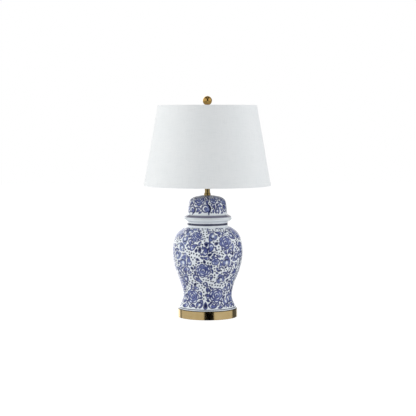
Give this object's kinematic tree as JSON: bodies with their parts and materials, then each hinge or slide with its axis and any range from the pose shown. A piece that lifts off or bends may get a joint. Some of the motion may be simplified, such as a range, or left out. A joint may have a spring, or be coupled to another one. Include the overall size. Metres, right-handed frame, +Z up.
{
  "type": "ginger jar table lamp",
  "caption": "Table lamp with a lidded blue-and-white ceramic jar on a round brass base, harp, tapered drum shade and ball finial.",
  "frame": {"origin": "centre of the underside of the base, on the surface the lamp stands on", "axes": "+Z up along the lamp pipe; -Y towards the front, where the switch knob points; +X to the lamp's right side seen from the front"},
  "size_m": [0.4317, 0.4318, 0.7493],
  "materials": {
    "satin_brass": "satin",
    "socket_brass": "polished",
    "blue_white_glaze": "gloss",
    "zinc_steel": "satin",
    "cast_ballast": "matte",
    "felt": "matte",
    "board": "matte",
    "black_moulding": "satin",
    "dark_gasket": "matte",
    "clear_gasket": "matte",
    "harp_brass": "satin",
    "paper_lining": "matte",
    "shade_cloth": "matte",
    "shade_lining": "matte",
    "white_wire": "satin",
    "frosted_globe": "satin",
    "bulb_white": "satin",
    "thin_aluminium": "satin",
    "contact_metal": "satin"
  },
  "bodies": {
    "lamp": {"felt_pad": "felt", "bottom_board": "board", "base_drum": "satin_brass", "base_ballast": "cast_ballast", "base_washer": "zinc_steel", "base_lock_washer": "zinc_steel", "base_nut": "zinc_steel", "cord_bushing": "black_moulding", "foot_gasket": "dark_gasket", "jar_body": "blue_white_glaze", "lid_gasket": "clear_gasket", "jar_lid": "blue_white_glaze", "lamp_pipe": "zinc_steel", "neck_collar": "satin_brass", "neck_tube": "satin_brass", "harp_saddle": "harp_brass", "harp_loop": "harp_brass", "harp_post": "harp_brass", "socket_cap": "socket_brass", "cap_set_screw": "zinc_steel", "socket_shell": "socket_brass", "socket_lining": "paper_lining", "socket_core": "black_moulding", "socket_screw_shell": "contact_metal", "socket_contact": "contact_metal", "terminal_screws": "contact_metal"},
    "shade": {"shade_fabric": "shade_cloth", "shade_liner": "shade_lining", "shade_top_ring": "white_wire", "shade_bottom_ring": "white_wire", "shade_spider": "white_wire", "shade_top_hem": "shade_cloth", "shade_bottom_hem": "shade_cloth"},
    "finial": {"finial_foot": "satin_brass", "finial_ball": "satin_brass"},
    "switch": {"switch_stem": "contact_metal", "switch_knob": "black_moulding"},
    "bulb": {"bulb_tip": "contact_metal", "bulb_insulator": "black_moulding", "bulb_screw_cap": "thin_aluminium", "bulb_housing": "bulb_white", "bulb_led_board": "thin_aluminium", "bulb_globe": "frosted_globe"},
    "sleeve_left": {"harp_sleeve_left": "harp_brass"},
    "sleeve_right": {"harp_sleeve_right": "harp_brass"}
  },
  "joints": [
    {"name": "shade_turn", "type": "hinge", "parent": "lamp", "child": "shade", "pos_m": [0, 0, 0.705], "axis": [0, 0, 1], "continuous": true},
    {"name": "finial_unscrew", "type": "hinge", "parent": "lamp", "child": "finial", "pos_m": [0, 0, 0.707], "axis": [0, 0, 1], "range_deg": [0, 3600]},
    {"name": "switch_turn", "type": "hinge", "parent": "lamp", "child": "switch", "pos_m": [0, -0.02, 0.482], "axis": [0, 1, 0], "continuous": true},
    {"name": "bulb_unscrew", "type": "hinge", "parent": "lamp", "child": "bulb", "pos_m": [0, 0, 0.5], "axis": [0, 0, 1], "range_deg": [0, 1260]},
    {"name": "sleeve_left_lift", "type": "slide", "parent": "lamp", "child": "sleeve_left", "axis": [0, 0, 1], "range_m": [0, 0.012]},
    {"name": "sleeve_right_lift", "type": "slide", "parent": "lamp", "child": "sleeve_right", "axis": [0, 0, 1], "range_m": [0, 0.012]}
  ]
}
